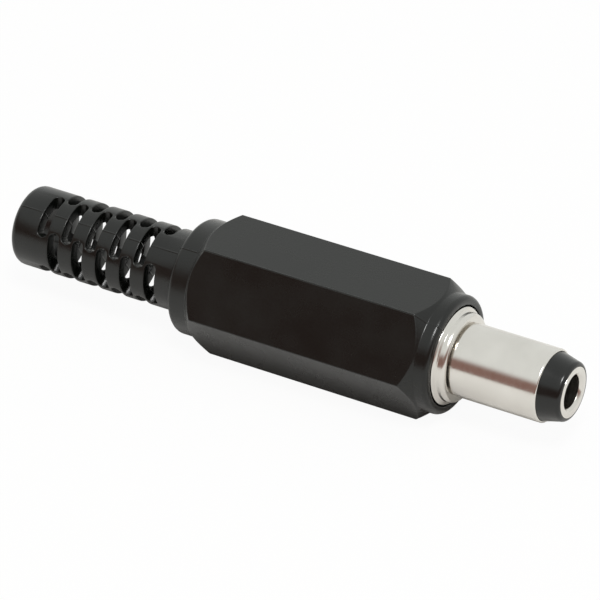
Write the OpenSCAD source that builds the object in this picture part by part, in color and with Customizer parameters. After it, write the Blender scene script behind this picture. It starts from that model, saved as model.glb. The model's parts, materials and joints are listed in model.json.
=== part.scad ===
// Barrel plug for low-voltage direct current, with a screw-on hexagon hood.
// The plug lies along X with its tip towards +X. The origin is on the axis
// at the root of the barrel, and the hood rests on one flat, square to -Z.

/* [Barrel] */
// Outside diameter of the barrel
barrel_d = 5.5; // [5.3:0.05:5.7]
// Length of the shaft from the hood's mouth to the tip
shaft_len = 9.5; // [9:0.1:12]
// Wall of the barrel
barrel_wall = 0.4; // [0.3:0.05:0.5]
// Wall left at the barrel's rim, where the nose is let in
rim_wall = 0.15; // [0.1:0.01:0.2]
// Depth that the nose is let into the rim
rim_depth = 0.5; // [0.3:0.05:0.8]

/* [Collar] */
// Length of the collar in front of the hood's mouth
collar_len = 1.0; // [0.85:0.05:1.4]
// Diameter of the flange that fills the hood's mouth
flange_d = 7.36; // [7.2:0.02:7.4]
// Thickness of the flange
flange_t = 0.8; // [0.6:0.05:1.2]
// Diameter of the collar's raised shoulder
shoulder_d = 6.7; // [6.5:0.05:6.9]
// Radius of the shoulder's front edge
shoulder_round = 0.35; // [0.2:0.05:0.4]
// Width of the half-round relief groove at the barrel's root
root_groove_w = 0.22; // [0.1:0.01:0.24]

/* [Threaded body] */
// Diameter over the thread that carries the hood
thread_d = 6.8; // [6.6:0.05:6.9]
// Length of the thread
thread_len = 6; // [5:0.25:7]
// Thickness of the wall that closes the thread's rear end
end_wall = 1.2; // [0.8:0.1:1.5]
// Diameter of the spigot behind the thread
spigot_d = 3.6; // [3.5:0.05:3.8]
// Wall of the spigot
spigot_wall = 0.3; // [0.2:0.05:0.4]
// Diameter of the rim rolled over the ground terminal
rolled_d = 4.3; // [4.1:0.05:4.4]
// Thickness of the rolled rim
rolled_t = 0.35; // [0.25:0.05:0.5]

/* [Insulator] */
// Length of the nose in front of the barrel's rim
nose_len = 1.65; // [1.3:0.05:2]
// Diameter of the nose at its front
nose_tip_d = 4.5; // [4.3:0.05:4.6]
// Radius of the nose's front edge
nose_round = 0.35; // [0.2:0.05:0.4]
// Thickness of the insulator's heel behind the contact tube
heel_t = 1; // [0.6:0.1:1.6]

/* [Inner contact] */
// Bore for the centre pin
pin_bore_d = 2.5; // [2:0.05:2.6]
// Depth of the bore for the centre pin
pin_bore_len = 11.5; // [10:0.25:12]
// Wall of the contact tube
contact_wall = 0.45; // [0.35:0.05:0.5]
// Diameter of the flared lip at the tip
flare_d = 3.84; // [3.7:0.02:3.9]
// Thickness of the flared lip
flare_t = 0.3; // [0.2:0.05:0.5]
// Lead-in chamfer at the bore's mouth
lead_in = 0.2; // [0.1:0.05:0.3]
// Diameter of the rivet stem behind the tube
stem_d = 1.8; // [1.5:0.05:2]
// Diameter of the rivet head
rivet_d = 2.8; // [2.5:0.05:3]
// Thickness of the rivet head
rivet_t = 0.5; // [0.4:0.05:0.7]

/* [Terminals] */
// Thickness of the sheet of both terminals
sheet_t = 0.35; // [0.3:0.05:0.4]
// Inside radius of the sheet's bends
bend_r = 0.25; // [0.2:0.05:0.3]
// How far the ground terminal's ring stays inside the thread's crests
ring_inset = 0.2; // [0.15:0.05:0.3]
// Width of the ground arm at its root and at the clamp
arm_w = 3.4; // [3:0.1:3.4]
// Width of the ground arm at its waist
waist_w = 2.2; // [2:0.1:2.6]
// Length of the ground arm from ring to clamp
arm_len = 5.5; // [5.25:0.25:6.25]
// Length of the cable clamp
clamp_len = 3; // [2.5:0.25:3.5]
// Height of the clamp's wings over the underside of the arm
wing_h = 4; // [3.5:0.25:4.5]
// Diameter of the solder hole in the ground arm
ground_hole_d = 1.2; // [1:0.1:1.4]
// Diameter of the centre terminal's ring
lug_d = 3.8; // [3.6:0.1:4]
// Distance from the axis to the outside of the centre arm
lug_rise = 2.3; // [2.2:0.05:2.5]
// Width of the centre arm
lug_w = 2; // [1.8:0.1:2.2]
// Length of the centre arm behind its bend
lug_len = 3.6; // [3:0.2:4]
// Diameter of the solder hole in the centre arm
lug_hole_d = 1; // [0.8:0.1:1.1]
// Thickness of the insulating washer
washer_t = 0.8; // [0.5:0.05:1]

/* [Hood] */
// Width of the hexagon across its flats
hood_af = 9.17; // [9.1:0.01:9.6]
// Length of the hexagon's corners between the two chamfers
hex_len = 17.4; // [15.5:0.1:20]
// Diameter of the round lip at the mouth
lip_d = 8.9; // [8.8:0.02:9]
// Length of the lip up to the front chamfer
lip_len = 1.05; // [0.8:0.05:1.5]
// Radius of the lip's front edge
lip_round = 0.4; // [0.2:0.05:0.45]
// Diameter of the round neck behind the hexagon
neck_d = 8.8; // [8.6:0.05:9]
// Length of the neck behind the rear chamfer
neck_len = 1.6; // [1.2:0.05:2]
// Radius of the neck's rear edge
neck_round = 0.4; // [0.2:0.05:0.5]
// Length of the thread's bore behind the thread
thread_runout = 1; // [0.5:0.25:2]
// Length of the cone from the hollow to the tail
funnel_len = 2.5; // [2:0.25:3]

/* [Strain relief] */
// Outside diameter of the tail
tail_d = 6.1; // [5.9:0.05:6.3]
// Length of the tail behind the neck
tail_len = 14.65; // [14:0.05:17]
// Radius of the tail's end edge
tail_round = 0.6; // [0.3:0.05:0.65]
// Diameter of the cable hole
cable_d = 4; // [3.5:0.1:4.2]
// Length of the cable hole's straight throat
throat_len = 2; // [1.5:0.1:2.2]
// Diameter that the drafted hole reaches at the neck
draft_d = 4.6; // [4.4:0.05:4.8]
// Plain band between the tail's end and the first windows
end_band = 2.35; // [2:0.05:2.6]
// Width of a window along the tail
window_w = 0.9; // [0.7:0.05:0.95]
// Distance from one window to the next in a row
window_pitch = 2.11; // [2.05:0.01:2.2]
// Windows in each row
windows_in_row = 5; // [3:1:5]
// Angle that a window takes round the tail
window_angle = 70; // [60:1:72]

/* [Fits] */
// Radial clearance of the hood's thread
thread_gap = 0.05; // [0.03:0.01:0.08]
// Radial clearance of the flange in the hood's mouth
mouth_gap = 0.12; // [0.08:0.01:0.15]
// Clearance behind the flange
seat_gap = 0.05; // [0.02:0.01:0.1]
// Radial clearance between the fixed inner pieces
inner_gap = 0.02; // [0.01:0.005:0.03]
// Clearance between the washer and the ground arm
washer_gap = 0.05; // [0.03:0.01:0.1]
// Radial clearance of the ground arm's corners in the hood's hollow
hollow_gap = 0.07; // [0.05:0.01:0.1]

/* [Hidden] */
$fn = 64;
// Cutters reach this far past what they cut
cut = 1;

// Places along the axis, from the tip backwards
x_mouth = -collar_len;
x_tip = x_mouth + shaft_len;
x_rim = x_tip - nose_len;
x_flange_back = x_mouth - flange_t;
x_thread_end = x_flange_back - thread_len;
x_plate_back = x_thread_end - sheet_t;
x_rolled_back = x_plate_back - rolled_t;
x_washer_back = x_rolled_back - washer_t;
x_lug_back = x_washer_back - sheet_t;
x_end_wall = x_thread_end + end_wall;
x_heel = x_end_wall + heel_t;

// Radii of the plug's inner pieces
barrel_bore_r = barrel_d / 2 - barrel_wall;
spigot_bore_r = spigot_d / 2 - spigot_wall;
contact_r = pin_bore_d / 2 + contact_wall;
nose_seat_r = barrel_d / 2 - rim_wall;

// Ground terminal, bent away from its ring just outside the rolled rim
ring_r = thread_d / 2 - ring_inset;
arm_flat = rolled_d / 2 + inner_gap;
arm_top = arm_flat + bend_r;
arm_drop = arm_top + sheet_t;
washer_r = arm_top - washer_gap;

// Hood, from the mouth backwards
hex_corner_r = hood_af / 2 / cos(30);
x_lip_back = x_mouth - lip_len;
x_hex_front = x_lip_back - (hex_corner_r - lip_d / 2);
x_hex_back = x_hex_front - hex_len;
x_neck_front = x_hex_back - (hex_corner_r - neck_d / 2);
x_neck_back = x_neck_front - neck_len;
x_tail_end = x_neck_back - tail_len;
x_funnel_front = x_neck_back + funnel_len;
flange_recess_r = flange_d / 2 + mouth_gap;
thread_bore_r = thread_d / 2 + thread_gap;
hollow_r = norm([arm_w / 2, arm_drop]) + hollow_gap;
x_recess_floor = x_flange_back - seat_gap;
x_thread_bore_end = x_thread_end - thread_runout;

// Turns a profile drawn as [radius, place along the axis] about the X axis
module turned() {
    rotate([0, 90, 0]) rotate_extrude() children();
}

// Profile of a plain round bar between two places along the axis
module bar(x0, x1, r) {
    translate([0, x0]) square([r, x1 - x0]);
}

// The same bar with its edge at x1 rounded; x0 is its sharp end
module round_bar(x0, x1, r, edge) {
    way = sign(x1 - x0);
    translate([0, min(x0, x1 - way * edge)]) square([r, abs(x1 - x0) - edge]);
    translate([0, min(x1 - way * edge, x1)]) square([r - edge, edge]);
    translate([r - edge, x1 - way * edge]) intersection() {
        circle(edge);
        translate([0, way > 0 ? 0 : -edge]) square(edge);
    }
}

module outer_sleeve() {
    color("lightgray") turned() difference() {
        union() {
            collar_profile();
            round_bar(0, x_rim, barrel_d / 2, rim_wall);
            bar(-root_groove_w, 0, barrel_d / 2);
            bar(x_thread_end, x_flange_back, thread_d / 2);
            bar(x_plate_back, x_thread_end, spigot_d / 2);
            bar(x_rolled_back, x_plate_back, rolled_d / 2);
        }
        bar(x_end_wall, x_rim + cut, barrel_bore_r);
        bar(x_rolled_back - cut, x_end_wall + cut, spigot_bore_r);
        bar(x_rim - rim_depth, x_rim + cut, nose_seat_r);
        translate([barrel_d / 2, -root_groove_w / 2]) circle(root_groove_w / 2);
    }
}

// Flange in the hood's mouth, a stepped cone and the rounded shoulder
module collar_profile() {
    flange_r = flange_d / 2;
    shoulder_r = shoulder_d / 2;
    step = (collar_len - root_groove_w - shoulder_round) / 3;
    polygon([
        [0, x_flange_back],
        [flange_r, x_flange_back],
        [flange_r, x_mouth],
        [flange_r - step / 2, x_mouth + step / 2],
        [shoulder_r + step / 4, x_mouth + step / 2],
        [shoulder_r, x_mouth + step],
        [0, x_mouth + step]
    ]);
    round_bar(x_mouth, -root_groove_w, shoulder_r, shoulder_round);
}

module insulator() {
    tube_r = barrel_bore_r - inner_gap;
    nose_r = nose_seat_r - inner_gap;
    nose_tip_r = nose_tip_d / 2;
    color("dimgray") turned() difference() {
        union() {
            bar(x_end_wall, x_rim, tube_r);
            bar(x_rolled_back, x_end_wall, spigot_bore_r - inner_gap);
            bar(x_rim - rim_depth, x_rim, nose_r);
            polygon([
                [0, x_rim],
                [nose_r, x_rim],
                [nose_tip_r, x_tip - nose_round],
                [0, x_tip - nose_round]
            ]);
            round_bar(x_rim, x_tip, nose_tip_r, nose_round);
        }
        bar(x_heel, x_tip + cut, contact_r + inner_gap);
        bar(x_tip - flare_t - inner_gap, x_tip + cut, flare_d / 2 + inner_gap);
        bar(x_rolled_back - cut, x_heel + cut, stem_d / 2 + inner_gap);
    }
}

module inner_contact() {
    bore_r = pin_bore_d / 2;
    color("silver") turned() difference() {
        union() {
            bar(x_heel, x_tip, contact_r);
            bar(x_tip - flare_t, x_tip, flare_d / 2);
            bar(x_lug_back, x_heel, stem_d / 2);
            round_bar(x_lug_back, x_lug_back - rivet_t, rivet_d / 2, rivet_t / 2);
        }
        bar(x_tip - pin_bore_len, x_tip + cut, bore_r);
        polygon([
            [0, x_tip - lead_in],
            [bore_r, x_tip - lead_in],
            [bore_r + lead_in, x_tip],
            [bore_r + lead_in, x_tip + cut],
            [0, x_tip + cut]
        ]);
    }
}

module rear_washer() {
    color("saddlebrown") turned() difference() {
        bar(x_washer_back, x_rolled_back, washer_r);
        bar(x_washer_back - cut, x_rolled_back + cut, stem_d / 2 + inner_gap);
    }
}

// Ring plate square to the axis, from x_front back by one sheet, cut off
// along the line where its arm is bent away
module ring_plate(x_front, d, hole_d, flat) {
    translate([x_front, 0, 0]) rotate([0, -90, 0]) linear_extrude(sheet_t)
    difference() {
        intersection() {
            circle(d / 2);
            translate([-flat, -d]) square([2 * d, 2 * d]);
        }
        circle(hole_d / 2 + inner_gap);
    }
}

// Quarter bend that turns the sheet from down to backwards; its arm's
// underside lies drop below the axis
module quarter_bend(x_back, drop, w) {
    outer_r = bend_r + sheet_t;
    translate([x_back - bend_r, w / 2, outer_r - drop]) rotate([90, 0, 0])
    linear_extrude(w) intersection() {
        difference() {
            circle(outer_r);
            circle(bend_r);
        }
        translate([0, -outer_r]) square(outer_r);
    }
}

module ground_terminal() {
    x_arm = x_plate_back - bend_r;
    x_clamp = x_arm - arm_len;
    waist_from = arm_len / 3;
    waist_to = arm_len * 2 / 3;
    color("gainsboro") {
        ring_plate(x_thread_end, 2 * ring_r, spigot_d, arm_flat);
        quarter_bend(x_plate_back, arm_drop, arm_w);
        translate([x_arm, 0, -arm_drop]) linear_extrude(sheet_t) difference() {
            polygon([
                [0, -arm_w / 2], [0, arm_w / 2],
                [-waist_from, waist_w / 2], [-waist_to, waist_w / 2],
                [-arm_len, arm_w / 2], [-arm_len, -arm_w / 2],
                [-waist_to, -waist_w / 2], [-waist_from, -waist_w / 2]
            ]);
            translate([-arm_len / 2, 0]) circle(ground_hole_d / 2);
        }
        translate([x_clamp - clamp_len, 0, -arm_drop]) clamp();
    }
}

// Open channel whose two wings fold round the cable
module clamp() {
    outer_r = bend_r + sheet_t;
    rotate([90, 0, 90]) linear_extrude(clamp_len) {
        translate([outer_r - arm_w / 2, 0]) square([arm_w - 2 * outer_r, sheet_t]);
        for (side = [0, 1]) mirror([side, 0]) {
            translate([arm_w / 2 - outer_r, outer_r]) intersection() {
                difference() {
                    circle(outer_r);
                    circle(bend_r);
                }
                translate([0, -outer_r]) square(outer_r);
            }
            translate([arm_w / 2 - sheet_t, outer_r]) square([sheet_t, wing_h - outer_r]);
        }
    }
}

module centre_terminal() {
    flat = lug_rise - sheet_t - bend_r;
    color("gainsboro") mirror([0, 0, 1]) {
        ring_plate(x_washer_back, lug_d, stem_d, flat);
        neck_plate(flat);
        quarter_bend(x_lug_back, lug_rise, lug_w);
        translate([x_lug_back - bend_r, 0, -lug_rise]) linear_extrude(sheet_t)
        difference() {
            union() {
                translate([-lug_len, -lug_w / 2]) square([lug_len, lug_w]);
                translate([-lug_len, 0]) circle(lug_w / 2);
            }
            translate([-lug_len, 0]) circle(lug_hole_d / 2);
        }
    }
}

// Strip that joins the centre terminal's ring to its bend
module neck_plate(flat) {
    translate([x_lug_back, -lug_w / 2, -flat])
    cube([sheet_t, lug_w, flat - stem_d / 2 - inner_gap]);
}

module hood() {
    color([0.12, 0.12, 0.12]) difference() {
        union() {
            hexagon();
            turned() {
                round_bar(x_hex_front, x_mouth, lip_d / 2, lip_round);
                round_bar(x_hex_back, x_neck_back, neck_d / 2, neck_round);
                round_bar(x_neck_front, x_tail_end, tail_d / 2, tail_round);
            }
        }
        turned() hollow();
        windows();
    }
}

// Hexagon bar, turned to 45 degrees at both ends
module hexagon() {
    intersection() {
        translate([x_neck_front, 0, 0]) rotate([0, 90, 0]) rotate([0, 0, 30])
        cylinder(r = hex_corner_r, h = x_lip_back - x_neck_front, $fn = 6);
        turned() polygon([
            [0, x_neck_front],
            [neck_d / 2, x_neck_front],
            [hex_corner_r, x_hex_back],
            [hex_corner_r, x_hex_front],
            [lip_d / 2, x_lip_back],
            [0, x_lip_back]
        ]);
    }
}

// Recess for the flange, bore of the thread, hollow, funnel, drafted hole
// through the tail and the cable's throat
module hollow() {
    bar(x_recess_floor, x_mouth + cut, flange_recess_r);
    bar(x_thread_bore_end, x_mouth, thread_bore_r);
    bar(x_funnel_front, x_mouth, hollow_r);
    polygon([
        [0, x_funnel_front],
        [hollow_r, x_funnel_front],
        [draft_d / 2, x_neck_back],
        [cable_d / 2, x_tail_end + throat_len],
        [0, x_tail_end + throat_len]
    ]);
    bar(x_tail_end - cut, x_tail_end + throat_len, cable_d / 2);
}

// Six columns of windows round the tail, every second one half a pitch on
module windows() {
    for (column = [0:5], row = [0:windows_in_row - 1]) {
        stagger = column % 2 == 0 ? 0 : window_pitch / 2;
        x_window = x_tail_end + end_band + window_w / 2 + stagger + row * window_pitch;
        translate([x_window, 0, 0]) rotate([0, 90, 0]) rotate([0, 0, 90 + 60 * column])
        window();
    }
}

// One window through the tail's wall, centred on its own +X, round at both ends
module window() {
    inner_r = cable_d / 4;
    end_angle = window_w / tail_d * 180 / PI;
    arc = window_angle - 2 * end_angle;
    rotate([0, 0, -arc / 2]) rotate_extrude(angle = arc)
    translate([inner_r, -window_w / 2]) square([tail_d / 2 + cut - inner_r, window_w]);
    for (side = [-1, 1]) rotate([0, 0, side * arc / 2]) rotate([0, 90, 0])
    translate([0, 0, inner_r]) cylinder(r = window_w / 2, h = tail_d / 2 + cut - inner_r);
}

hood();
outer_sleeve();
insulator();
inner_contact();
rear_washer();
ground_terminal();
centre_terminal();
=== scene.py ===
# Looks of a barrel plug with a screw-on hexagon hood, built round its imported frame.
import json
import math

import bpy
from mathutils import Matrix, Vector

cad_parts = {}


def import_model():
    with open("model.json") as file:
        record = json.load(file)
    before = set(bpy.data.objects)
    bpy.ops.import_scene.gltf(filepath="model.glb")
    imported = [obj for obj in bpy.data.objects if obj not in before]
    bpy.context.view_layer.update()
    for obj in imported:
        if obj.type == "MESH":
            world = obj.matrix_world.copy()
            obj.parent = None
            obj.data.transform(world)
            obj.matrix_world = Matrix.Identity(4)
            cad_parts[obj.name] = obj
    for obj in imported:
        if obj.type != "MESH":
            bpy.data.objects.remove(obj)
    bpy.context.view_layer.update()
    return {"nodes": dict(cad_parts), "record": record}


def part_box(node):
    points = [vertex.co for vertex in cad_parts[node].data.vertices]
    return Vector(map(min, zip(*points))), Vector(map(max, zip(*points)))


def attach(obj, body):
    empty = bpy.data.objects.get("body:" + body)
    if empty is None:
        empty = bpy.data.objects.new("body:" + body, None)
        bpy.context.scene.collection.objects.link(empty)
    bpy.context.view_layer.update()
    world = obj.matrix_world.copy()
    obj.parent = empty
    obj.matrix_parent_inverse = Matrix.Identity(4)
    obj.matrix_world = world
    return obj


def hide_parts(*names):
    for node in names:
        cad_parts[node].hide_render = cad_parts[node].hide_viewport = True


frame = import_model()

# ---------------------------------------------------------------- sizes, metres
MM = 0.001
MOUNTS = {m["name"]: m for m in frame["record"]["mounts"]}
HOOD_LOW, HOOD_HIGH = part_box("hood")
SLEEVE_LOW, SLEEVE_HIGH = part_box("outer_sleeve")
CONTACT_LOW, CONTACT_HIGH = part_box("inner_contact")
WASHER_LOW, WASHER_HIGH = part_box("rear_washer")

X_MOUTH = HOOD_HIGH.x
X_TAIL = HOOD_LOW.x
X_TIP = CONTACT_HIGH.x
X_RIM = SLEEVE_HIGH.x
FLAT = HOOD_HIGH.z
CORNER = FLAT / math.cos(math.radians(30))
BARREL_R = MOUNTS["barrel"]["dims"]["r_mm"] * MM
PIN_BORE_R = MOUNTS["pin_bore"]["dims"]["r_mm"] * MM
PIN_BORE_LEN = MOUNTS["pin_bore"]["dims"]["length_mm"] * MM
CABLE_R = MOUNTS["cable_hole"]["dims"]["r_mm"] * MM
FLANGE_R = SLEEVE_HIGH.z

# Hood
LIP_R = 4.45 * MM
LIP_LEN = 1.05 * MM
LIP_ROUND = 0.4 * MM
NECK_R = 4.4 * MM
NECK_ROUND = 0.4 * MM
HEX_LEN = 17.4 * MM
NECK_LEN = 1.6 * MM
TAIL_R = 3.05 * MM
TAIL_ROUND = 0.6 * MM
MOUTH_R = FLANGE_R + 0.12 * MM
THREAD_BORE_R = 3.45 * MM
CAVITY_R = 3.3 * MM
RECESS_LEN = 0.85 * MM
THREAD_BORE_LEN = 7.8 * MM
FUNNEL_LEN = 2.5 * MM
X_LIP_BACK = X_MOUTH - LIP_LEN
X_HEX_FRONT = X_LIP_BACK - (CORNER - LIP_R)
X_HEX_BACK = X_HEX_FRONT - HEX_LEN
X_NECK_FRONT = X_HEX_BACK - (CORNER - NECK_R)
X_NECK_BACK = X_NECK_FRONT - NECK_LEN

# Plug
COLLAR_LEN = 1.0 * MM
GROOVE_W = 0.18 * MM
GROOVE_T = 0.34 * MM
SHOULDER_R = 3.35 * MM
SHOULDER_ROUND = 0.35 * MM
FLANGE_T = 0.8 * MM
THREAD_LEN = 6.0 * MM
THREAD_PITCH = 0.75 * MM
SLEEVE_THREAD_R = 3.4 * MM
THREAD_CORE_R = 3.05 * MM
SHEET_T = 0.35 * MM
SPIGOT_R = 1.8 * MM
SPIGOT_BORE_R = 1.5 * MM
ROLLED_R = 2.15 * MM
END_WALL = 1.2 * MM
BARREL_BORE_R = 2.35 * MM
RIM_WALL = 0.15 * MM
RIM_DEPTH = 0.5 * MM
NOSE_SEAT_R = BARREL_R - RIM_WALL
NOSE_TIP_R = 2.25 * MM
NOSE_ROUND = 0.35 * MM
CONTACT_R = 1.7 * MM
LIP_SEAT_R = 1.94 * MM
LIP_T = 0.3 * MM
STEM_R = 0.9 * MM
RIVET_R = 1.4 * MM
RIVET_T = 0.5 * MM
HEEL_T = 1.0 * MM
GAP = 0.02 * MM
X_FLANGE_BACK = X_MOUTH - FLANGE_T
X_THREAD_END = X_FLANGE_BACK - THREAD_LEN
X_END_WALL = X_THREAD_END + END_WALL
X_HEEL = X_END_WALL + HEEL_T
X_LUG_BACK = CONTACT_LOW.x + RIVET_T

# Windows of the strain relief
END_BAND = 2.35 * MM
WINDOW_W = 0.9 * MM
WINDOW_PITCH = 2.11 * MM
WINDOWS_IN_ROW = 5
WINDOW_ANGLE = math.radians(70)
THROAT_LEN = 2.0 * MM
DRAFT_R = 2.3 * MM
COLUMN_SPACING = 120    # degrees between the windows of one row
SECOND_ROW_TURN = 60    # degrees that every second row is turned by
HOOD_STEPS = 144
HEX_ALLOW = 0.01 * MM   # the turned form's reach beyond the hexagon's corners
SKIN = 0.2 * MM         # depth in which faces count as the tail's surface
NARROWEST = 0.06        # share of its width that a window keeps at its very end

# Small steps and clearances
GROOVE_RUN = (0.01 * MM, 0.03 * MM)
COLLAR_STEPS = ((1.5, 0), (1.4, 0.04 * MM), (1, 0.08 * MM), (0.7, 0.2 * MM))
THREAD_ROOT_DEPTH = 0.1 * MM
THREAD_ROOT_SHARE = 0.46
CREST_HALF = 0.05 * MM
THREAD_GAP_BEHIND = 0.05 * MM
THREAD_GAP_IN_FRONT = 0.25 * MM
THREAD_STEPS = 64       # for each turn
BORE_LEAD = 0.2 * MM

# Edges
HOOD_EDGE = 0.08 * MM
SLEEVE_EDGE = 0.02 * MM
MOULDED_EDGE = 0.03 * MM
SHEET_EDGE = 0.04 * MM
BEVEL_ANGLE = 28        # degrees
FINE_STEPS = 128        # round a turned piece
COARSE_STEPS = 96

# Distances at which points count as one
WELD = 0.002 * MM
RIM_WELD = 0.01 * MM
LAST_WELD = 0.001 * MM
SIDE_NEAR = 0.02 * MM
WALL_NEAR = 0.05 * MM
SURFACE_NEAR = 0.1 * MM

# Surfaces
NOISE_RANGE = (0.3, 0.7)    # where nearly all of a noise texture's values lie
FINE_SHARE = 0.15           # of the fine grain in the moulding's relief
FLASH_TILT = 60             # degrees between the mould's parting plane and the vertical
FLASH_FOOT = 0.07 * MM
FLASH_TOP = 0.02 * MM

# Studio: angles in degrees, lens and sensor in millimetres
CAMERA_ANGLES = (31.781, 34.230, -1.944)
CAMERA_TARGET = Vector((-13.982, 0, 0.656)) * MM
CAMERA_DISTANCE = 344.794 * MM
CAMERA_LENS = 284.5
CAMERA_SENSOR = 36
CAMERA_CLIP = (0.01, 10)
FLOOR_SIZE = 1.2
FLOOR_COLOUR = (0.74, 0.735, 0.72, 1)
FLOOR_PLAIN_SHARE = 0.94    # of what the camera sees of the floor
KEY_PLACE = (0.12, -0.14, 0.42)
KEY_AIM = (-0.01, 0, 0)
KEY_SIZE = (0.14, 0.14)
KEY_POWER = 1.1
SKY_HEIGHTS = (0.36, 0.62)
SKY_SIDES = (-0.5, 0.2)
SKY_DARK = (0.25, 0.145, 0.12, 1)
SKY_LIGHT = (0.84, 0.86, 0.84, 1)


# ------------------------------------------------------------------- modelling
def deselect():
    if bpy.context.object and bpy.context.object.mode != "OBJECT":
        bpy.ops.object.mode_set(mode="OBJECT")
    bpy.ops.object.select_all(action="DESELECT")


def pick(obj):
    deselect()
    bpy.context.view_layer.objects.active = obj
    obj.select_set(True)
    return obj


def settle(obj):
    """Puts an object's place, turn and size into its mesh."""
    pick(obj)
    bpy.ops.object.transform_apply(location=True, rotation=True, scale=True)
    return obj


def edit(obj):
    pick(obj)
    bpy.ops.object.mode_set(mode="EDIT")
    bpy.ops.mesh.select_all(action="SELECT")


def weld(obj, distance=WELD):
    """Merges doubles and turns every face outwards."""
    edit(obj)
    bpy.ops.mesh.remove_doubles(threshold=distance)
    bpy.ops.mesh.normals_make_consistent(inside=False)
    bpy.ops.object.mode_set(mode="OBJECT")
    return obj


def modify(obj, kind, **settings):
    """Adds a modifier with these settings and applies it."""
    pick(obj)
    bpy.ops.object.modifier_add(type=kind)
    modifier = obj.modifiers[-1]
    for key, value in settings.items():
        setattr(modifier, key, value)
    bpy.ops.object.modifier_apply(modifier=modifier.name)
    return obj


def carve(obj, tool, operation):
    """Boolean of obj with a tool, which is then thrown away."""
    modify(obj, "BOOLEAN", object=tool, operation=operation, solver="EXACT")
    pick(tool)
    bpy.ops.object.delete()
    return obj


def arc(centre_x, centre_r, radius, start, end, steps=6):
    """Points (x, r) on an arc; 0 degrees points to +X, 90 degrees outwards."""
    turns = [math.radians(start + (end - start) * k / steps) for k in range(steps + 1)]
    return [(centre_x + radius * math.cos(t), centre_r + radius * math.sin(t)) for t in turns]


def draw(name, outline):
    """Draws an outline of (x, r) points by extruding a vertex, and stays in edit mode."""
    deselect()
    start_x, start_r = outline[0]
    bpy.ops.mesh.primitive_plane_add(size=MM, location=(start_x, 0, start_r))
    obj = bpy.context.object
    obj.name = name
    settle(obj)
    edit(obj)
    bpy.ops.mesh.merge(type="CENTER")
    for (x0, r0), (x1, r1) in zip(outline, outline[1:]):
        step = (x1 - x0, 0, r1 - r0)
        bpy.ops.mesh.extrude_region_move(TRANSFORM_OT_translate={"value": step})
    return obj


def turn(name, outline, steps=FINE_STEPS, ring=False):
    """Spins an outline about the X axis. A ring's outline is closed; another one
    starts and ends on the axis."""
    obj = draw(name, outline)
    if ring:
        bpy.ops.mesh.select_all(action="DESELECT")
        bpy.ops.object.mode_set(mode="OBJECT")
        vertices = obj.data.vertices
        vertices[0].select = True
        vertices[len(vertices) - 1].select = True
        bpy.ops.object.mode_set(mode="EDIT")
        bpy.ops.mesh.edge_face_add()
    bpy.ops.mesh.select_all(action="SELECT")
    bpy.ops.mesh.spin(steps=steps, angle=2 * math.pi, center=(0, 0, 0), axis=(1, 0, 0))
    bpy.ops.object.mode_set(mode="OBJECT")
    return weld(obj)


def smooth(obj, angle=35):
    pick(obj)
    bpy.ops.object.shade_smooth_by_angle(angle=math.radians(angle))
    modify(obj, "WEIGHTED_NORMAL", keep_sharp=True, weight=80)
    return obj


# ------------------------------------------------------------------------ hood
def window_rows():
    """Places of the window rows along the axis, each with its first column's angle."""
    rows = []
    for row in range(WINDOWS_IN_ROW):
        x = X_TAIL + END_BAND + WINDOW_W / 2 + row * WINDOW_PITCH
        rows += [(x, SECOND_ROW_TURN), (x + WINDOW_PITCH / 2, 0)]
    return rows


def hood_blank():
    """The turned form of the hood with its hollow, before the hexagon is cut."""
    edge = LIP_ROUND
    edges = sorted(x + side * WINDOW_W / 2 for x, _ in window_rows() for side in (-1, 1))
    outline = [(X_MOUTH, MOUTH_R)]
    outline += [(X_MOUTH, LIP_R - edge)]
    outline += arc(X_MOUTH - edge, LIP_R - edge, edge, 0, 90)[1:]
    outline += [(X_LIP_BACK, LIP_R), (X_HEX_FRONT, CORNER + HEX_ALLOW)]
    outline += [(X_HEX_BACK, CORNER + HEX_ALLOW), (X_NECK_FRONT, NECK_R)]
    outline += arc(X_NECK_BACK + NECK_ROUND, NECK_R - NECK_ROUND, NECK_ROUND, 90, 180)
    outline += [(X_NECK_BACK, TAIL_R)]
    outline += [(x, TAIL_R) for x in reversed(edges)]
    outline += arc(X_TAIL + TAIL_ROUND, TAIL_R - TAIL_ROUND, TAIL_ROUND, 90, 180)
    outline += [(X_TAIL, CABLE_R), (X_TAIL + THROAT_LEN, CABLE_R)]
    outline += [(x, CABLE_R) for x in edges] + [(X_NECK_BACK, CABLE_R)]
    outline += [(X_NECK_BACK + FUNNEL_LEN, CAVITY_R)]
    outline += [(X_MOUTH - THREAD_BORE_LEN, r) for r in (CAVITY_R, THREAD_BORE_R)]
    outline += [(X_MOUTH - RECESS_LEN, THREAD_BORE_R), (X_MOUTH - RECESS_LEN, MOUTH_R)]
    return turn("hood_shell", outline, steps=HOOD_STEPS, ring=True)


def hexagon_bar():
    length = X_MOUTH - X_TAIL + 4 * MM
    deselect()
    bpy.ops.mesh.primitive_cylinder_add(
        vertices=6, radius=CORNER, depth=length,
        location=((X_MOUTH + X_TAIL) / 2, 0, 0), rotation=(0, math.pi / 2, 0))
    return settle(bpy.context.object)


def column_angle(y, z, first):
    """Angle in degrees from the middle of the nearest window of a row."""
    angle = math.degrees(math.atan2(z, -y)) - first
    return (angle + COLUMN_SPACING / 2) % COLUMN_SPACING - COLUMN_SPACING / 2


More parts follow.
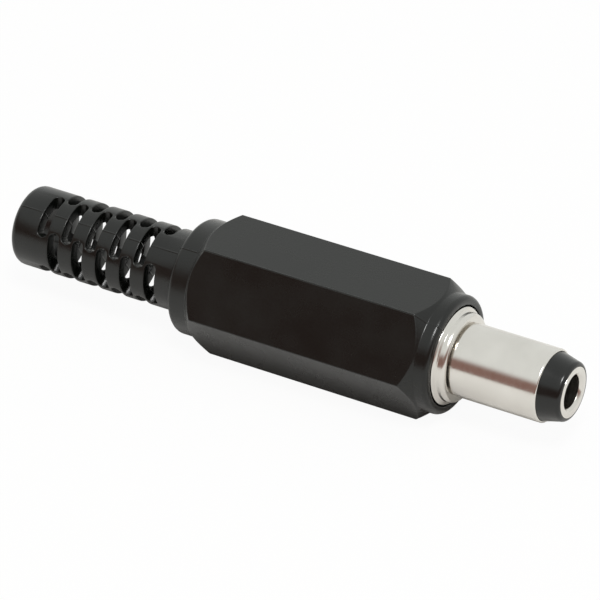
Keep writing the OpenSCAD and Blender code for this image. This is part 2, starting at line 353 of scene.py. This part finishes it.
def choose(obj, wanted, mode="VERT"):
    """Selects the vertices or faces whose middle (x, y, z) is wanted."""
    if obj.mode == "EDIT":
        bpy.ops.object.mode_set(mode="OBJECT")
    pick(obj)
    mesh = obj.data
    bpy.context.tool_settings.mesh_select_mode = (mode == "VERT", False, mode == "FACE")
    for group in (mesh.vertices, mesh.edges, mesh.polygons):
        group.foreach_set("select", [False] * len(group))
    if mode == "VERT":
        mesh.vertices.foreach_set("select", [wanted(*v.co) for v in mesh.vertices])
    else:
        mesh.polygons.foreach_set("select", [wanted(*f.center) for f in mesh.polygons])
    bpy.ops.object.mode_set(mode="EDIT")


def in_a_window(x, y, z):
    for row_x, first in window_rows():
        if abs(x - row_x) < WINDOW_W / 2:
            return abs(column_angle(y, z, first)) < math.degrees(WINDOW_ANGLE) / 2
    return False


def open_windows(hood):
    """Cuts six columns of slots through the tail's wall, every second one half a
    pitch on, and gives them round ends."""
    choose(hood, lambda x, y, z: math.hypot(y, z) > TAIL_R - SKIN
           and in_a_window(x, y, z), "FACE")
    bpy.ops.mesh.delete(type="FACE")
    bpy.ops.mesh.select_mode(type="EDGE")
    bpy.ops.mesh.select_all(action="DESELECT")
    bpy.ops.mesh.select_non_manifold()
    bpy.ops.mesh.extrude_edges_move()
    inwards = CABLE_R / TAIL_R
    bpy.ops.transform.resize(value=(1, inwards, inwards), center_override=(0, 0, 0))
    choose(hood, lambda x, y, z: math.hypot(y, z) < CABLE_R + SKIN
           and in_a_window(x, y, z), "FACE")
    bpy.ops.mesh.delete(type="FACE")
    bpy.ops.object.mode_set(mode="OBJECT")
    weld(hood, RIM_WELD)
    half = WINDOW_W / 2
    straight = math.degrees(WINDOW_ANGLE / 2 - half / TAIL_R)
    step = 360 / HOOD_STEPS
    for row_x, first in window_rows():
        angle = math.degrees(WINDOW_ANGLE) / 2
        while angle > straight:
            reach = math.radians(angle - straight) * TAIL_R / half
            narrow = max(math.sqrt(max(1 - reach * reach, 0)), NARROWEST)
            choose(hood, lambda x, y, z: abs(abs(x - row_x) - half) < SIDE_NEAR
                   and abs(abs(column_angle(y, z, first)) - angle) < step / 4
                   and math.hypot(y, z) < TAIL_R + SURFACE_NEAR)
            bpy.ops.transform.resize(value=(narrow, 1, 1), center_override=(row_x, 0, 0))
            angle -= step
    bpy.ops.object.mode_set(mode="OBJECT")


def draft_hole(hood):
    """Widens the hole through the tail towards the neck."""
    start = X_TAIL + THROAT_LEN
    stations = sorted({round(v.co.x, 7) for v in hood.data.vertices
                       if start < v.co.x < X_NECK_BACK + SURFACE_NEAR
                       and math.hypot(v.co.y, v.co.z) < CABLE_R + WALL_NEAR})
    for station in stations:
        wide = 1 + (DRAFT_R / CABLE_R - 1) * (station - start) / (X_NECK_BACK - start)
        choose(hood, lambda x, y, z: abs(x - station) < LAST_WELD
               and math.hypot(y, z) < CABLE_R + WALL_NEAR)
        bpy.ops.transform.resize(value=(1, wide, wide), center_override=(0, 0, 0))
    bpy.ops.object.mode_set(mode="OBJECT")


def make_hood():
    hood = hood_blank()
    carve(hood, hexagon_bar(), "INTERSECT")
    weld(hood)
    open_windows(hood)
    draft_hole(hood)
    weld(hood, LAST_WELD)
    modify(hood, "BEVEL", width=HOOD_EDGE, segments=3, limit_method="ANGLE",
           angle_limit=math.radians(BEVEL_ANGLE), miter_outer="MITER_ARC", use_clamp_overlap=True)
    smooth(hood)
    return hood


# ------------------------------------------------------------ pieces of the plug
def soften(obj, width):
    modify(obj, "BEVEL", width=width, segments=2, limit_method="ANGLE",
           angle_limit=math.radians(BEVEL_ANGLE), use_clamp_overlap=True)
    return smooth(obj)


def make_sleeve():
    """Barrel, stepped collar, flange and the thread's core, open from end to end."""
    step = (COLLAR_LEN - GROOVE_W - SHOULDER_ROUND) / 3
    outline = [(X_RIM, NOSE_SEAT_R)]
    outline += arc(X_RIM - RIM_WALL, BARREL_R - RIM_WALL, RIM_WALL, 10, 90)
    outline += [(-GROOVE_RUN[0], BARREL_R), (-GROOVE_RUN[1], BARREL_R - GROOVE_T)]
    outline += [(-GROOVE_W, BARREL_R - GROOVE_T)]
    outline += arc(-GROOVE_W - SHOULDER_ROUND, SHOULDER_R - SHOULDER_ROUND,
                   SHOULDER_ROUND, 0, 90, 8)
    outline += [(X_MOUTH + step * along, SHOULDER_R + rise) for along, rise in COLLAR_STEPS]
    outline += [(X_MOUTH, FLANGE_R), (X_FLANGE_BACK, FLANGE_R), (X_FLANGE_BACK, THREAD_CORE_R)]
    outline += [(X_THREAD_END, THREAD_CORE_R), (X_THREAD_END, SPIGOT_R)]
    outline += [(X_THREAD_END - SHEET_T, SPIGOT_R), (X_THREAD_END - SHEET_T, ROLLED_R)]
    outline += [(SLEEVE_LOW.x, ROLLED_R), (SLEEVE_LOW.x, SPIGOT_BORE_R)]
    outline += [(X_END_WALL, SPIGOT_BORE_R), (X_END_WALL, BARREL_BORE_R)]
    outline += [(X_RIM - RIM_DEPTH, BARREL_BORE_R), (X_RIM - RIM_DEPTH, NOSE_SEAT_R)]
    return soften(turn("sleeve_shell", outline, ring=True), SLEEVE_EDGE)


def make_thread():
    """Helical ridge of the thread round its core, cut square at both ends."""
    root = THREAD_CORE_R - THREAD_ROOT_DEPTH
    half = THREAD_PITCH * THREAD_ROOT_SHARE
    start = X_THREAD_END - THREAD_PITCH
    ridge = draw("hood_thread", [
        (start - half, root), (start - CREST_HALF, SLEEVE_THREAD_R),
        (start + CREST_HALF, SLEEVE_THREAD_R), (start + half, root)])
    bpy.ops.mesh.select_all(action="SELECT")
    bpy.ops.mesh.edge_face_add()
    bpy.ops.object.mode_set(mode="OBJECT")
    turns = math.ceil(THREAD_LEN / THREAD_PITCH) + 2
    steps = THREAD_STEPS * turns
    modify(ridge, "SCREW", axis="X", angle=2 * math.pi * turns,
           screw_offset=THREAD_PITCH * turns, steps=steps, render_steps=steps,
           use_normal_calculate=True, use_smooth_shade=False)
    weld(ridge)
    for x, clear_inner in ((X_THREAD_END + THREAD_GAP_BEHIND, True),
                           (X_FLANGE_BACK - THREAD_GAP_IN_FRONT, False)):
        edit(ridge)
        bpy.ops.mesh.bisect(plane_co=(x, 0, 0), plane_no=(1, 0, 0), use_fill=True,
                            clear_inner=clear_inner, clear_outer=not clear_inner)
        bpy.ops.object.mode_set(mode="OBJECT")
    weld(ridge)
    return smooth(ridge, 40)


def make_nose():
    """Black insulator: the cone in front, the tube in the barrel and its heel."""
    cut = math.degrees(math.asin((LIP_SEAT_R - NOSE_TIP_R + NOSE_ROUND) / NOSE_ROUND))
    outline = arc(X_TIP - NOSE_ROUND, NOSE_TIP_R - NOSE_ROUND, NOSE_ROUND, cut, 90, 10)
    outline += [(X_RIM, NOSE_SEAT_R - GAP), (X_RIM - RIM_DEPTH, NOSE_SEAT_R - GAP)]
    outline += [(X_RIM - RIM_DEPTH, BARREL_BORE_R - GAP), (X_END_WALL, BARREL_BORE_R - GAP)]
    outline += [(X_END_WALL, SPIGOT_BORE_R - GAP), (SLEEVE_LOW.x, SPIGOT_BORE_R - GAP)]
    outline += [(SLEEVE_LOW.x, STEM_R + GAP), (X_HEEL, STEM_R + GAP), (X_HEEL, CONTACT_R + GAP)]
    outline += [(X_TIP - LIP_T - GAP, CONTACT_R + GAP), (X_TIP - LIP_T - GAP, LIP_SEAT_R)]
    return soften(turn("nose_moulding", outline, ring=True), MOULDED_EDGE)


def make_contact():
    """Contact tube with its flared lip in front and the rivet behind."""
    lead = BORE_LEAD
    round_r = RIVET_T / 2
    outline = [(X_TIP - PIN_BORE_LEN - lead, 0), (X_TIP - PIN_BORE_LEN - lead, PIN_BORE_R)]
    outline += [(X_TIP - lead, PIN_BORE_R), (X_TIP, PIN_BORE_R + lead)]
    outline += [(X_TIP, LIP_SEAT_R - GAP), (X_TIP - LIP_T, LIP_SEAT_R - GAP)]
    outline += [(X_TIP - LIP_T, CONTACT_R)]
    outline += [(X_HEEL, CONTACT_R), (X_HEEL, STEM_R)]
    outline += [(X_LUG_BACK, STEM_R), (X_LUG_BACK, RIVET_R)]
    outline += arc(CONTACT_LOW.x + round_r, RIVET_R - round_r, round_r, 90, 180)
    outline += [(CONTACT_LOW.x, 0)]
    return soften(turn("contact_tube", outline, steps=COARSE_STEPS), MOULDED_EDGE)


def make_washer():
    outline = [(WASHER_HIGH.x, WASHER_HIGH.z), (WASHER_LOW.x, WASHER_HIGH.z)]
    outline += [(WASHER_LOW.x, STEM_R + GAP), (WASHER_HIGH.x, STEM_R + GAP)]
    return soften(turn("board_washer", outline, steps=COARSE_STEPS, ring=True), SHEET_EDGE)


def soft_copy(name, node):
    """A copy of a packed sheet piece with its facets merged and its edges broken."""
    deselect()
    copy = frame["nodes"][node].copy()
    copy.data = copy.data.copy()
    copy.name = name
    bpy.context.scene.collection.objects.link(copy)
    weld(copy)
    edit(copy)
    bpy.ops.mesh.dissolve_limited(angle_limit=math.radians(1))
    bpy.ops.object.mode_set(mode="OBJECT")
    return soften(copy, SHEET_EDGE)


# ------------------------------------------------------------------- materials
def new_material(name):
    material = bpy.data.materials.new(name)
    material.use_nodes = True
    nodes = material.node_tree.nodes
    return material, nodes, material.node_tree.links, nodes["Principled BSDF"]


def grain(nodes, links, scale, detail=4, stretch=(1, 1, 1)):
    """Noise on the piece's own coordinates, in units of 1/metre."""
    place = nodes.new("ShaderNodeTexCoord")
    mapping = nodes.new("ShaderNodeMapping")
    mapping.inputs["Scale"].default_value = stretch
    noise = nodes.new("ShaderNodeTexNoise")
    noise.inputs["Scale"].default_value = scale
    noise.inputs["Detail"].default_value = detail
    links.new(place.outputs["Object"], mapping.inputs["Vector"])
    links.new(mapping.outputs["Vector"], noise.inputs["Vector"])
    return noise


def spread(nodes, links, source, low, high):
    """Maps a 0 to 1 factor to a range of values."""
    ranged = nodes.new("ShaderNodeMapRange")
    ranged.inputs["From Min"].default_value, ranged.inputs["From Max"].default_value = NOISE_RANGE
    ranged.inputs["To Min"].default_value = low
    ranged.inputs["To Max"].default_value = high
    links.new(source, ranged.inputs["Value"])
    return ranged.outputs["Result"]


def tint(nodes, links, source, dark, light):
    ramp = nodes.new("ShaderNodeValToRGB")
    for stop, place, colour in zip(ramp.color_ramp.elements, NOISE_RANGE, (dark, light)):
        stop.position = place
        stop.color = (*colour, 1)
    links.new(source, ramp.inputs["Fac"])
    return ramp.outputs["Color"]


def bump(nodes, links, shader, height, depth, strength=1.0):
    node = nodes.new("ShaderNodeBump")
    node.inputs["Strength"].default_value = strength
    node.inputs["Distance"].default_value = depth
    links.new(height, node.inputs["Height"])
    links.new(node.outputs["Normal"], shader.inputs["Normal"])


def black_moulding():
    material, nodes, links, shader = new_material("black_moulding")
    cloud = grain(nodes, links, scale=260, detail=5)
    fine = grain(nodes, links, scale=5200, detail=3)
    links.new(tint(nodes, links, cloud.outputs["Fac"],
                   dark=(0.0014, 0.0018, 0.0013), light=(0.0032, 0.0038, 0.0030)),
              shader.inputs["Base Color"])
    links.new(spread(nodes, links, cloud.outputs["Fac"], low=0.22, high=0.33),
              shader.inputs["Roughness"])
    relief = nodes.new("ShaderNodeMath")
    relief.operation = "MULTIPLY_ADD"
    relief.inputs[1].default_value = FINE_SHARE
    links.new(fine.outputs["Fac"], relief.inputs[0])
    links.new(flash_line(nodes, links, cloud), relief.inputs[2])
    bump(nodes, links, shader, relief.outputs["Value"], depth=0.05 * MM, strength=0.8)
    return material


def flash_line(nodes, links, cloud):
    """Fine broken ridge where the two halves of the mould met, in a plane through the
    axis and two corners of the hexagon."""
    place = nodes.new("ShaderNodeTexCoord")
    across = nodes.new("ShaderNodeVectorMath")
    across.operation = "DOT_PRODUCT"
    tilt = math.radians(FLASH_TILT)
    across.inputs[1].default_value = (0, math.sin(tilt), math.cos(tilt))
    links.new(place.outputs["Object"], across.inputs[0])
    away = nodes.new("ShaderNodeMath")
    away.operation = "ABSOLUTE"
    links.new(across.outputs["Value"], away.inputs[0])
    ridge = nodes.new("ShaderNodeMapRange")
    ridge.inputs["From Min"].default_value = FLASH_FOOT
    ridge.inputs["From Max"].default_value = FLASH_TOP
    links.new(away.outputs["Value"], ridge.inputs["Value"])
    broken = nodes.new("ShaderNodeMath")
    broken.operation = "MULTIPLY"
    links.new(ridge.outputs["Result"], broken.inputs[0])
    links.new(spread(nodes, links, cloud.outputs["Fac"], low=0.3, high=1),
              broken.inputs[1])
    return broken.outputs["Value"]


def nose_moulding():
    material, nodes, links, shader = new_material("nose_moulding")
    cloud = grain(nodes, links, scale=700, detail=3)
    links.new(tint(nodes, links, cloud.outputs["Fac"],
                   dark=(0.0025, 0.0028, 0.0025), light=(0.0045, 0.005, 0.0045)),
              shader.inputs["Base Color"])
    links.new(spread(nodes, links, cloud.outputs["Fac"], low=0.16, high=0.26),
              shader.inputs["Roughness"])
    bump(nodes, links, shader, cloud.outputs["Fac"], depth=0.006 * MM, strength=0.4)
    return material


def nickel_plate():
    material, nodes, links, shader = new_material("nickel_plate")
    shader.inputs["Metallic"].default_value = 1.0
    lines = grain(nodes, links, scale=900, detail=4, stretch=(14, 1, 1))
    cloud = grain(nodes, links, scale=300, detail=3)
    links.new(tint(nodes, links, cloud.outputs["Fac"],
                   dark=(0.70, 0.675, 0.635), light=(0.79, 0.765, 0.725)),
              shader.inputs["Base Color"])
    links.new(spread(nodes, links, lines.outputs["Fac"], low=0.13, high=0.23),
              shader.inputs["Roughness"])
    bump(nodes, links, shader, lines.outputs["Fac"], depth=0.0015 * MM, strength=0.5)
    return material


def tinned_sheet():
    material, nodes, links, shader = new_material("tinned_sheet")
    shader.inputs["Metallic"].default_value = 1.0
    cloud = grain(nodes, links, scale=600, detail=4)
    links.new(tint(nodes, links, cloud.outputs["Fac"],
                   dark=(0.55, 0.54, 0.51), light=(0.72, 0.71, 0.68)),
              shader.inputs["Base Color"])
    links.new(spread(nodes, links, cloud.outputs["Fac"], low=0.28, high=0.45),
              shader.inputs["Roughness"])
    bump(nodes, links, shader, cloud.outputs["Fac"], depth=0.004 * MM, strength=0.5)
    return material


def brown_board():
    material, nodes, links, shader = new_material("brown_board")
    fibre = grain(nodes, links, scale=2500, detail=5, stretch=(0.3, 1, 1))
    links.new(tint(nodes, links, fibre.outputs["Fac"],
                   dark=(0.16, 0.07, 0.03), light=(0.30, 0.15, 0.07)),
              shader.inputs["Base Color"])
    links.new(spread(nodes, links, fibre.outputs["Fac"], low=0.5, high=0.7),
              shader.inputs["Roughness"])
    bump(nodes, links, shader, fibre.outputs["Fac"], depth=0.01 * MM, strength=0.5)
    return material


def dress(obj, material):
    obj.data.materials.clear()
    obj.data.materials.append(material)


# ---------------------------------------------------------------------- studio
def camera():
    azimuth, elevation, roll = (math.radians(a) for a in CAMERA_ANGLES)
    back = Vector((math.sin(azimuth) * math.cos(elevation),
                   -math.cos(azimuth) * math.cos(elevation), math.sin(elevation)))
    right = Vector((0, 0, 1)).cross(back).normalized()
    up = back.cross(right)
    right_rolled = math.cos(roll) * right + math.sin(roll) * up
    up_rolled = -math.sin(roll) * right + math.cos(roll) * up
    data = bpy.data.cameras.new("camera")
    data.sensor_width = CAMERA_SENSOR
    data.lens = CAMERA_LENS
    data.clip_start, data.clip_end = CAMERA_CLIP
    obj = bpy.data.objects.new("camera", data)
    bpy.context.scene.collection.objects.link(obj)
    turn_matrix = Matrix((right_rolled, up_rolled, back)).transposed().to_4x4()
    obj.matrix_world = Matrix.Translation(CAMERA_TARGET + back * CAMERA_DISTANCE) @ turn_matrix
    bpy.context.scene.camera = obj


def seen_directly(nodes):
    """1 for camera rays only: metal reflects the studio, not the plain background."""
    path = nodes.new("ShaderNodeLightPath")
    return path.outputs["Is Camera Ray"]


def floor():
    deselect()
    bpy.ops.mesh.primitive_plane_add(size=FLOOR_SIZE, location=(0, 0, HOOD_LOW.z))
    obj = bpy.context.object
    obj.name = "floor"
    material, nodes, links, shader = new_material("white_floor")
    shader.inputs["Base Color"].default_value = FLOOR_COLOUR
    shader.inputs["Roughness"].default_value = 0.9
    shader.inputs["Specular IOR Level"].default_value = 0.1
    glow = nodes.new("ShaderNodeEmission")
    glow.inputs["Strength"].default_value = 1.0
    mix = nodes.new("ShaderNodeMixShader")
    share = nodes.new("ShaderNodeMath")
    share.operation = "MULTIPLY"
    share.inputs[1].default_value = FLOOR_PLAIN_SHARE
    links.new(seen_directly(nodes), share.inputs[0])
    links.new(share.outputs["Value"], mix.inputs["Fac"])
    links.new(shader.outputs["BSDF"], mix.inputs[1])
    links.new(glow.outputs["Emission"], mix.inputs[2])
    links.new(mix.outputs["Shader"], nodes["Material Output"].inputs["Surface"])
    obj.data.materials.append(material)


def softbox(name, position, aim, size, power):
    data = bpy.data.lights.new(name, "AREA")
    data.shape = "RECTANGLE"
    data.size, data.size_y = size
    data.energy = power
    obj = bpy.data.objects.new(name, data)
    bpy.context.scene.collection.objects.link(obj)
    obj.location = position
    obj.rotation_euler = (Vector(aim) - Vector(position)).to_track_quat("-Z", "Y").to_euler()


def world():
    scene = bpy.context.scene
    scene.world = bpy.data.worlds.new("studio")
    scene.world.use_nodes = True
    tree = scene.world.node_tree
    nodes, links = tree.nodes, tree.links
    sky = nodes["Background"]
    place = nodes.new("ShaderNodeTexCoord")
    split = nodes.new("ShaderNodeSeparateXYZ")
    links.new(place.outputs["Generated"], split.inputs["Vector"])
    most = nodes.new("ShaderNodeMath")
    most.operation = "MAXIMUM"
    for slot, (direction, limits) in enumerate((("Z", SKY_HEIGHTS), ("Y", SKY_SIDES))):
        fade = nodes.new("ShaderNodeMapRange")
        fade.interpolation_type = "SMOOTHSTEP"
        fade.inputs["From Min"].default_value, fade.inputs["From Max"].default_value = limits
        links.new(split.outputs[direction], fade.inputs["Value"])
        links.new(fade.outputs["Result"], most.inputs[slot])
    ramp = nodes.new("ShaderNodeMix")
    ramp.data_type = "RGBA"
    ramp.inputs[6].default_value = SKY_DARK
    ramp.inputs[7].default_value = SKY_LIGHT
    links.new(most.outputs["Value"], ramp.inputs["Factor"])
    white = nodes.new("ShaderNodeMix")
    white.data_type = "RGBA"
    white.inputs[7].default_value = (1, 1, 1, 1)
    links.new(ramp.outputs[2], white.inputs[6])
    links.new(seen_directly(nodes), white.inputs["Factor"])
    links.new(white.outputs[2], sky.inputs["Color"])
    sky.inputs["Strength"].default_value = 1.0


def studio():
    scene = bpy.context.scene
    scene.view_settings.view_transform = "Standard"
    camera()
    floor()
    world()
    softbox("key", KEY_PLACE, KEY_AIM, KEY_SIZE, KEY_POWER)


# ------------------------------------------------------------------------ plug
studio()

hood = make_hood()
dress(hood, black_moulding())
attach(hood, "hood")
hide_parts("hood")

plate = nickel_plate()
sheet = tinned_sheet()
for piece, node, material, slot in (
        (make_sleeve(), "outer_sleeve", plate, "nickel"),
        (make_thread(), None, plate, "nickel"),
        (make_nose(), "insulator", nose_moulding(), "nose_plastic"),
        (make_contact(), "inner_contact", plate, "nickel"),
        (make_washer(), "rear_washer", brown_board(), "washer_board"),
        (soft_copy("ground_tag", "ground_terminal"), "ground_terminal", sheet, "tinned_sheet"),
        (soft_copy("centre_tag", "centre_terminal"), "centre_terminal", sheet, "tinned_sheet")):
    dress(piece, material)
    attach(piece, "plug")
    if node:
        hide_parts(node)
